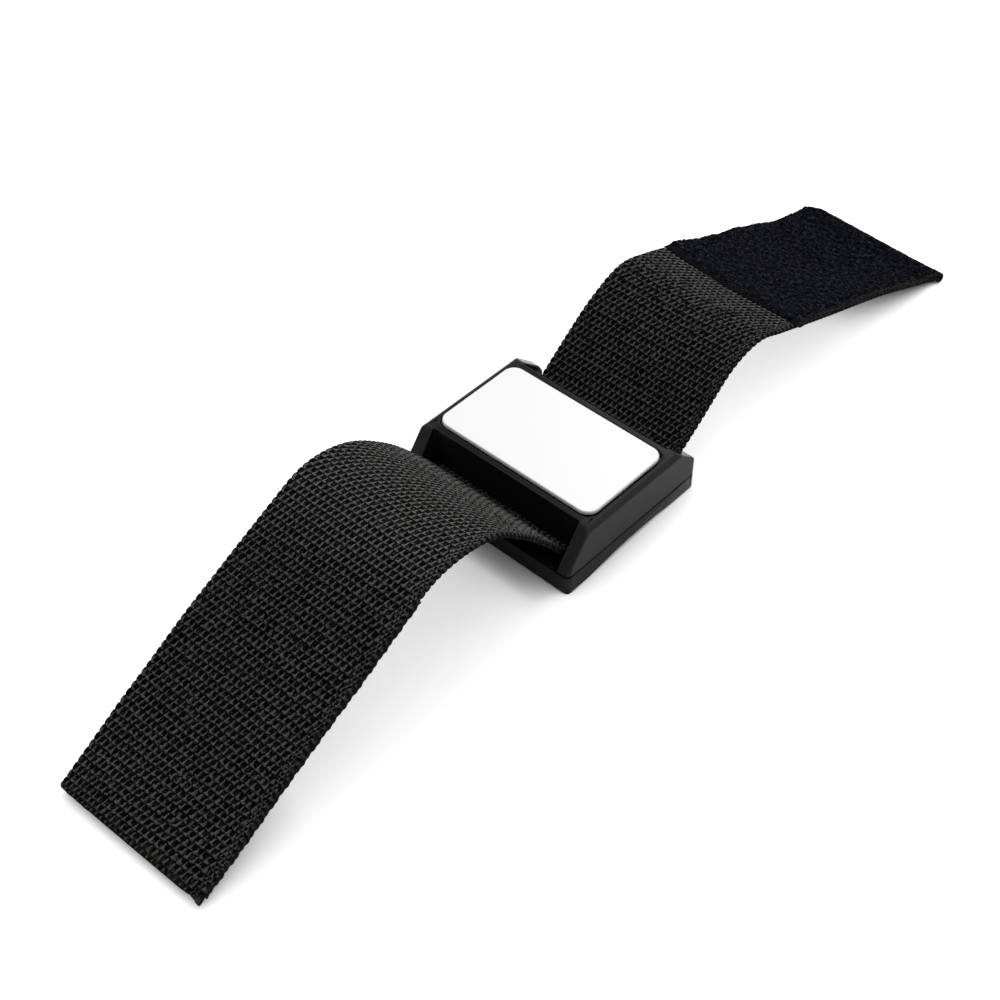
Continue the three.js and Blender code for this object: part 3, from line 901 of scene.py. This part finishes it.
def band_section(half, yarn):
    """Points round the webbing's section from its -Y edge over the top: places, angles, first point below."""
    flat = half - EDGE_ROUND
    fine = yarn / SAMPLES_ACROSS
    number = int(flat / fine)
    top = (np.arange(-number, number) + 0.5) * fine
    under = ((np.arange(-number // 2, number // 2) + 0.5) * 2 * fine)[::-1]
    rise = np.array(EDGE_STEPS)
    ends = len(rise)
    angles = np.radians(np.concatenate([
        [0], rise[::-1], [90] * len(top), rise, [0], -rise[::-1], [-90] * len(under), -rise]))
    across = np.concatenate([
        [-flat] * (ends + 1), top, [flat] * (2 * ends + 1), under, [-flat] * ends])
    return across, angles, 2 * ends + len(top) + 1


def woven_piece(name, path, start, end, settings, material, cut):
    """One stretch of webbing as a closed woven slab, its last end cut with heat where asked."""
    pick, yarn, crimp = settings.pick / MM, settings.yarn / MM, settings.crimp / MM
    half, face = settings.width / MM / 2, settings.face / MM
    step = pick / SAMPLES_ALONG
    rows = np.arange(round(start / step), round(end / step) + 1) * step
    if cut:
        rows = np.concatenate([rows[rows < end - 2 * CUT_ROWS[0][0]], [end - back for back, _ in CUT_ROWS]])
    squash = np.ones((len(rows), 1))
    if cut:
        squash[-len(CUT_ROWS):, 0] = [share for _, share in CUT_ROWS]
    across, angles, split = band_section(half, yarn)
    along = rows[:, None]
    side = across[None]
    flat = np.abs(angles) > math.radians(89)
    inward = -path.sign * along
    woven = weave(inward, side, pick, yarn)
    fine = weave(inward * SELVEDGE_FINENESS, side * SELVEDGE_FINENESS, pick, yarn)
    woven = np.where(across < -half + SELVEDGE_WIDTH, fine * SELVEDGE_CRIMP, woven)
    bead = np.sqrt(np.abs(np.sin(math.pi * along / pick))) - BEAD_LEVEL
    rim = smooth((np.abs(side) - half + EDGE_ROUND + BEAD_WIDTH) / BEAD_WIDTH)
    woven = woven * (1 - BEAD_CALM * rim) + rim * bead * BEAD_HEIGHT / crimp
    singed = np.zeros_like(along)
    if cut:
        singed = smooth((along - end + MELT_LENGTH) / MELT_LENGTH)
        woven = woven * (1 - (1 - MELT_CRIMP) * singed) + 0.5 * (squash > 1)
    edge = np.sin(angles) * (face + BEAD_HEIGHT * bead)
    even = 0
    for low, high, fade in EVEN:
        even = even + smooth((inward - low + fade) / (2 * fade)) * smooth((high + fade - inward) / (2 * fade))
    relief = crimp * (1 - EVEN_CRIMP * even)
    level = np.where(flat, np.sign(angles) * (face + relief * woven), edge) * squash
    out = np.sign(across) * np.cos(angles) * (EDGE_ROUND + BEAD_OUT * bead)
    width = np.where(flat, side, side + out)
    shift = 0
    if cut:
        frayed = ripple(width, *CUT_FRAY)
        corner = sum(
            out * smooth((way * width - half + reach) / fade) for way, out, reach, fade in CUT_CORNERS)
        shift = singed**3 * (frayed + corner) - singed * CUT_TILT[path.side] * width / half
        swell, reach, fade = CUT_SWELL
        level = level * (1 + swell * singed**2 * smooth((-width - half + reach) / fade))
    points = band_place(path, along + shift, width, level)
    # On the rounded edges the colour value follows the beads and drops by one on the lower part of the edge:
    # painted shade under the band's edge
    woven = np.where(flat, woven, 2 * bead - 0.4 - (angles < 0.5))
    places = np.stack(np.broadcast_arrays(inward, width, woven), -1)
    melt = np.broadcast_to(singed, woven.shape)
    piece = PieceMesh()
    add_tube(piece, points, places, melt, split, path.sign < 0, ((0, 0.6), (0.62, 0.94)), 0.95)
    return piece.build(name, material)


def make_webbing(side, settings, material):
    """One half of the band, in pieces that run across its hinges and meet in the middle of each length."""
    path = wing_path(side)
    pick = settings.pick / MM
    seams = [path.start] + [(math.floor(m / pick) + 0.5) * pick for m in length_middles(path)]
    seams.append(path.end + CUT_SPARE[side])
    for k, (start, end) in enumerate(zip(seams, seams[1:])):
        cut = k == LENGTHS
        piece = woven_piece(f"{side}_webbing_{k}", path, start, end, settings, material, cut)
        if k or side == "near":
            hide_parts(f"{side}_band_{k}" if k else "band_core")
        ride_band(piece, path, k, cut)


# Tapes


def tape_plan(side, first_node):
    """The half of the band under a tape, half the tape's width, and where its pieces start and end."""
    path = wing_path(side)
    low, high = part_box(first_node)
    near_x = high.x if path.sign < 0 else low.x
    at = np.argmin(np.abs(path.places[:, 0] - near_x / MM) + np.where(path.s < path.bends[3] - 6, 1e3, 0))
    return path, (high.y - low.y) / MM / 2, [path.s[at], *length_middles(path)[4:], path.end]


def pile_field(along, across, seed):
    """Random lumps of matted pile, about 1 high, as a sum of waves from 0.9 to 5 mm long."""
    random = np.random.default_rng(seed)
    total = np.zeros(np.broadcast_shapes(along.shape, across.shape))
    for _ in range(PILE_WAVES):
        length = random.uniform(0.9, 5)
        turn = random.uniform(0, 2 * math.pi)
        phase = random.uniform(0, 2 * math.pi)
        total += np.sin(2 * math.pi * (along * math.cos(turn) + across * math.sin(turn)) / length + phase)
    return total / math.sqrt(PILE_WAVES / 2)


def pile_section(half):
    """Points round the pad's section from its -Y foot over the pile: place across and rise from 0 to 1."""
    number = int(half / PAD_GRID)
    top = np.linspace(-half + PAD_SOFT_EDGE, half - PAD_SOFT_EDGE, 2 * number)
    bend = np.radians([0, 25, 50, 72])
    right = half - PAD_SOFT_EDGE * (1 - np.cos(bend))[::-1]
    rise = np.sin(bend)
    base = np.linspace(half - 0.4, -half + 0.4, PAD_BASE_STEPS)
    across = np.concatenate([-right[::-1], top, right, base])
    rises = np.concatenate([rise, np.ones(len(top)), rise[::-1], np.zeros(PAD_BASE_STEPS)])
    return across, rises, len(top) + 2 * len(bend) - 1


def pad_wander(along, across, half):
    """How far the pad's edges stray across the band."""
    stray = ripple(along + 9 * np.sign(across), *PAD_STRAY)
    return np.sign(across) * (np.abs(across) > half - 2 * PAD_SOFT_EDGE) * stray


def pad_surface(path, rows, across, rise, start, settings, half):
    """Places of the pile along, above and across the band, its lumps, and how far it is pressed flat."""
    from_start = rows - start
    side = across / half
    plus = (side + 1) / 2
    along = rows + (PAD_SKEW_SHIFT + PAD_SKEW * side) * (1 - smooth(from_start / PAD_SKEW_REACH))
    lump = pile_field(along, across, SEED)
    calm = PAD_CALM[0] + PAD_CALM[1] * plus
    loose = smooth(from_start / calm / 0.6 - 0.67)
    foot = PAD_START + (1 - PAD_START) * smooth(from_start / (PAD_RAMP[0] + PAD_RAMP[1] * plus))
    deep, place, narrow = PAD_CREASE
    crease = deep * np.exp(-((from_start / calm - place) * narrow) ** 2) * smooth(side + 0.6)
    swell = ripple(along, *PAD_SWELL) + ripple(across, PAD_SWELL_ACROSS)
    rough = (swell + lump * settings.lump / MM) * (0.15 + 0.85 * loose)
    tail = 0.5 + 0.5 * smooth((path.end - rows) / 0.8)
    tail = tail * (1 - PAD_PRESSED * smooth((PAD_PRESSED_REACH - half - across) / PAD_PRESSED_REACH))
    height = PAD_FLOOR + rise * tail * (foot * (settings.pile / MM - PAD_FLOOR + rough) - crease)
    corner = PAD_CORNER * np.clip(-side, 0, 1) ** 4 * np.exp(-((from_start / PAD_CORNER_REACH) ** 2))
    return along, height, across + pad_wander(along, across, half) - corner, lump, 1 - loose


def pile_loops(path, start, end, settings, half, first, number, seed):
    """Small loops of fibre that stand out of the pile."""
    random = np.random.default_rng(seed)
    rows = random.uniform(start + 0.3, end - 0.3, number)
    across = random.uniform(-half + 0.6, half - 0.6, number)
    size = settings.loop_size / MM * random.uniform(0.5, 1.25, number)
    turn = random.uniform(0, 2 * math.pi, number)
    sink = random.uniform(-0.55, -0.05, number)
    edge = np.clip((half - np.abs(across)) / PAD_SOFT_EDGE, 0, 1)
    rise = np.sqrt(edge * (2 - edge))
    along, level, across, lump, pressed = pad_surface(path, rows, across, rise, first, settings, half)
    bow = np.linspace(0, math.pi, LOOP_POINTS)
    forward = np.cos(bow)[None] * size[:, None]
    lift = (np.sin(bow)[None] + sink[:, None]) * size[:, None] * 1.2
    lines = band_place(
        path, along[:, None] + forward * np.cos(turn)[:, None],
        across[:, None] + forward * np.sin(turn)[:, None], level[:, None] + lift)
    stands = pressed < 0.2
    # Loops are coloured as pile 0.4 higher than their lump, so they come out lighter: painted light
    return lines[stands], np.stack([along, across, lump + 0.4], -1)[stands]


def edge_stitches(path, start, end, half):
    """Bound stitches along the pad's -Y edge."""
    middle = np.arange(math.ceil(start / STITCH_PITCH), math.floor(end / STITCH_PITCH)) * STITCH_PITCH
    share = np.linspace(-1, 1, LOOP_POINTS)
    along = middle[:, None] + share * STITCH_LENGTH / 2
    across = -half + pad_wander(along, -half, half) + 0.1 + 0.3 * share**4
    level = PAD_FLOOR + STITCH_LEVEL
    lines = band_place(path, along, across, level)
    return lines, np.stack([middle, np.full(len(middle), -half), np.ones(len(middle))], -1)


def add_hem(piece, path, half):
    """Adds the fold that closes the pad's far end, hollow where it opens at the -Y corner."""
    mouth = -half - HEM_OUT
    shape = [(mouth + back, swell) for back, swell in HEM_MOUTH]
    run = np.linspace(mouth + 1, half - 1.4, 90)
    shape += [(place, 1 + 0.12 * smooth((mouth + 9 - place) / 7)) for place in run]
    shape += [(half - back, swell) for back, swell in HEM_TIP]
    across, swell = (np.array(column)[:, None] for column in zip(*shape))
    turn = 2 * math.pi * np.arange(HEM_SIDES)[None] / HEM_SIDES
    radius = HEM_RADIUS * swell * (1 + ripple(across, *HEM_WAVES))
    along = path.end - 0.5 + radius * np.cos(turn)
    points = band_place(path, along, across, HEM_LEVEL + radius * np.sin(turn))
    # The third value, the sine of the turn, colours the fold lighter on top and darker underneath: painted
    # light and painted shade
    places = np.stack(np.broadcast_arrays(along, across, np.sin(turn)), -1)
    melt = np.broadcast_to(smooth((mouth + 3 - across) / 3), points.shape[:2])
    add_tube(piece, points, places, melt, HEM_SIDES // 2, False, ((0.61, 0.66), (0.665, 0.7)), 0.972)


def make_loop_pad(settings, material):
    """Loop pad on top of the far end, in pieces laid along the band."""
    path, half, seams = tape_plan("far", "loop_pad_1")
    across, rises, split = pile_section(half)
    for k, (start, end) in enumerate(zip(seams, seams[1:])):
        rows = np.linspace(start, end, round((end - start) / PAD_GRID) + 1)[:, None]
        along, height, width, lump, pressed = pad_surface(
            path, rows, across, rises, seams[0], settings, half)
        points = band_place(path, along, width, np.where(rises == 0, PAD_FLOOR, height))
        places = np.stack(np.broadcast_arrays(along, across, lump), -1)
        piece = PieceMesh()
        add_tube(piece, points, places, pressed, split, False, ((0, 0.55), (0.56, 0.6)), 0.95)
        lines, spots = pile_loops(path, start, end, settings, half, seams[0], settings.loops, SEED + k)
        add_strands(piece, lines, spots, 0, settings.fibre / MM, LOOP_SIDES, 0.75, 0.94)
        lines, spots = edge_stitches(path, start, end, half)
        add_strands(piece, lines, spots, 1, STITCH_WIRE, LOOP_SIDES, 0.71, 0.74)
        if k == 2:
            add_hem(piece, path, half)
        made = piece.build(f"loop_pile_{k + 1}", material)
        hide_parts(f"loop_pad_{k + 1}")
        ride_band(made, path, k + 4, k == 2)


def make_hook_tape(settings, material):
    """Hook tape under the near end: a thin tape with rows of moulded hooks that face each way in turn."""
    path, half, seams = tape_plan("near", "hook_tape_1")
    back = np.linspace(-half, half, 2 * round(half / TAPE_GRID) + 1)
    across = np.concatenate([back, back[::-1]])
    level = np.repeat([TAPE_BACK, TAPE_FACE], len(back))
    pitch, tall = settings.hook_pitch / MM, settings.hook_height / MM
    shape = np.array(HOOK_SHAPE)
    for k, (start, end) in enumerate(zip(seams, seams[1:])):
        rows = np.linspace(start, end, round((end - start) / TAPE_GRID) + 1)[:, None]
        wavy = ripple(rows, *TAPE_WAVES) * np.sign(across) * (np.abs(across) == half)
        points = band_place(path, rows, across + wavy, level)
        places = np.stack(np.broadcast_arrays(rows, across, level), -1)
        piece = PieceMesh()
        add_tube(piece, points, places, 0, len(back) - 1, True, ((0, 0.3), (0.31, 0.7)), 0.95)
        lines = np.arange(math.ceil((start + 0.8) / pitch), math.floor((end - 0.5) / pitch) + 1)
        files = np.arange(-math.floor((half - 1) / pitch), math.floor((half - 1) / pitch) + 1)
        line, file = (grid.ravel() for grid in np.meshgrid(lines, files, indexing="ij"))
        facing = 1 - 2 * np.mod(file, 2)
        at = (line + 0.5 * np.mod(file, 2)) * pitch
        hooks = band_place(
            path, at[:, None] + facing[:, None] * shape[None, :, 0] * tall,
            file[:, None] * pitch, TAPE_FACE + 0.05 - shape[None, :, 1] * tall)
        spots = np.stack([at, file * pitch, np.zeros(len(at))], -1)
        add_strands(piece, hooks, spots, 0, settings.hook_wire / MM, HOOK_SIDES, 0.72, 0.94)
        made = piece.build(f"hook_tape_hooks_{k + 1}", material)
        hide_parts(f"hook_tape_{k + 1}")
        ride_band(made, path, k + 4, k == 2)


# Stage


def make_camera(settings):
    data = bpy.data.cameras.new("camera")
    data.lens = settings.lens
    data.sensor_width = 36
    camera = link("camera", data)
    level = math.cos(settings.elevation)
    back = Vector((
        math.sin(settings.azimuth) * level, -math.cos(settings.azimuth) * level,
        math.sin(settings.elevation)))
    camera.location = Vector(settings.aim) + back * settings.distance
    camera.rotation_euler = (-back).to_track_quat("-Z", "Y").to_euler()
    bpy.context.scene.camera = camera


def make_key_light(settings):
    data = bpy.data.lights.new("key", "AREA")
    data.shape = "DISK"
    data.size = KEY_SIZE
    data.energy = settings.key_power
    light = link("key", data)
    light.location = KEY_PLACE
    light.rotation_euler = (-light.location).to_track_quat("-Z", "Y").to_euler()


def make_floor(settings):
    mesh = bpy.data.meshes.new("floor")
    corners = [(FLOOR_REACH * x, FLOOR_REACH * y, 0) for x, y in ((-1, -1), (1, -1), (1, 1), (-1, 1))]
    mesh.from_pydata(corners, [], [(0, 1, 2, 3)])
    mesh.materials.append(floor_material(settings))
    floor = link("floor", mesh)


def make_sky(settings):
    """White surroundings, brightest behind the far end: shiny surfaces see them under a dark ceiling."""
    world = bpy.data.worlds.new("surroundings")
    world.use_nodes = True
    nodes = Nodes(world.node_tree)
    shiny = nodes.maximum(nodes.ray("Is Glossy Ray"), nodes.ray("Is Transmission Ray"))
    ahead = nodes.node("ShaderNodeTexCoord", None, "Generated")
    low, side = (nodes.vector("DOT_PRODUCT", ahead, way, output="Value") for way in (LOW_SIDE, LIGHT_SIDE))
    mirrored = nodes.span(low, -0.6, -0.54, settings.ceiling, 1)
    spread = nodes.span(side, -0.5, 1, 0, 1.6 * settings.sky)
    plain = nodes.span(shiny, 0, 1, spread, mirrored)
    background = world.node_tree.nodes["Background"]
    background.inputs["Color"].default_value = (1, 1, 1, 1)
    nodes.feed(background.inputs["Strength"], nodes.span(nodes.ray("Is Camera Ray"), 0, 1, plain, 1))
    bpy.context.scene.world = world


# Operators


class WRISTBAND_OT_stage(Operator):
    """Set the camera, the light and the floor"""

    bl_idname = "wristband.stage"
    bl_label = "Stage"

    def execute(self, context):
        settings = context.scene.wristband_stage
        context.scene.view_settings.view_transform = "Standard"
        make_camera(settings)
        make_key_light(settings)
        make_floor(settings)
        make_sky(settings)
        return {"FINISHED"}


class WRISTBAND_OT_case(Operator):
    """Round the edges of the case's two mouldings and give them their plastic"""

    bl_idname = "wristband.case"
    bl_label = "Case"

    def execute(self, context):
        settings = context.scene.wristband_case
        plastic = plastic_material(settings)
        mouldings = (("base_tray", "case_base", settings.flare), ("cover_shell", "case_cover", 0))
        for node, name, flare in mouldings:
            piece = round_edges(node, name, settings.edge, settings.fine_edge, plastic, flare=flare)
        return {"FINISHED"}


class WRISTBAND_OT_plate(Operator):
    """Enamel the plate and finish the magnets, yoke and film under it"""

    bl_idname = "wristband.plate"
    bl_label = "Plate and magnets"

    def execute(self, context):
        settings = context.scene.wristband_case
        piece = round_edges(
            "face_plate", "white_plate", settings.plate_edge, settings.plate_edge, enamel_material(settings),
            settings.plate_gap)
        ferrite = inner_material("ferrite", (0.03, 0.03, 0.032), (0.06, 0.06, 0.062), 0.7, 0, 400)
        steel = inner_material("yoke_steel", (0.5, 0.51, 0.52), (0.62, 0.63, 0.64), 0.38, 1, 150)
        film = inner_material("adhesive_film", (0.68, 0.65, 0.58), (0.8, 0.77, 0.7), 0.6, 0, 250)
        inner = {
            "ferrite_magnet_1": ferrite, "ferrite_magnet_2": ferrite, "steel_yoke": steel,
            "adhesive_film": film}
        for node, material in inner.items():
            slots = frame["nodes"][node].data.materials
            slots.clear()
            slots.append(material)
        return {"FINISHED"}


class WRISTBAND_OT_webbing(Operator):
    """Weave both halves of the band"""

    bl_idname = "wristband.webbing"
    bl_label = "Webbing"

    def execute(self, context):
        settings = context.scene.wristband_webbing
        material = webbing_material(settings)
        for side in WING_SIGN:
            make_webbing(side, settings, material)
        return {"FINISHED"}


class WRISTBAND_OT_loop_pad(Operator):
    """Lay the loop pad on the far end"""

    bl_idname = "wristband.loop_pad"
    bl_label = "Loop pad"

    def execute(self, context):
        settings = context.scene.wristband_tape
        make_loop_pad(settings, pile_material(settings))
        return {"FINISHED"}


class WRISTBAND_OT_hook_tape(Operator):
    """Lay the hook tape under the near end"""

    bl_idname = "wristband.hook_tape"
    bl_label = "Hook tape"

    def execute(self, context):
        settings = context.scene.wristband_tape
        make_hook_tape(settings, hook_material(settings))
        return {"FINISHED"}


class WRISTBAND_PT_panel(Panel):
    """Lists the wristband's pieces and their settings"""

    bl_idname = "WRISTBAND_PT_panel"
    bl_label = "Magnetic Wristband"
    bl_space_type = "VIEW_3D"
    bl_region_type = "UI"
    bl_category = "Wristband"

    def draw(self, context):
        layout = self.layout
        for operator in OPERATORS:
            layout.operator(operator.bl_idname)
        for name, group in SETTINGS.items():
            box = layout.box()
            box.label(text=group.__doc__)
            for key in group.__annotations__:
                box.prop(getattr(context.scene, name), key)


SETTINGS = {
    "wristband_webbing": WebbingSettings,
    "wristband_tape": TapeSettings,
    "wristband_case": CaseSettings,
    "wristband_stage": StageSettings,
}
OPERATORS = (
    WRISTBAND_OT_stage,
    WRISTBAND_OT_case,
    WRISTBAND_OT_plate,
    WRISTBAND_OT_webbing,
    WRISTBAND_OT_loop_pad,
    WRISTBAND_OT_hook_tape,
)
CLASSES = (*SETTINGS.values(), *OPERATORS, WRISTBAND_PT_panel)


def register():
    for cls in CLASSES:
        bpy.utils.register_class(cls)
    for name, group in SETTINGS.items():
        setattr(bpy.types.Scene, name, PointerProperty(type=group))


def unregister():
    for name in SETTINGS:
        delattr(bpy.types.Scene, name)
    for cls in reversed(CLASSES):
        bpy.utils.unregister_class(cls)


def main():
    register()
    bpy.ops.wristband.stage()
    bpy.ops.wristband.case()
    bpy.ops.wristband.plate()
    bpy.ops.wristband.webbing()
    bpy.ops.wristband.loop_pad()
    bpy.ops.wristband.hook_tape()


if __name__ == "__main__":
    main()
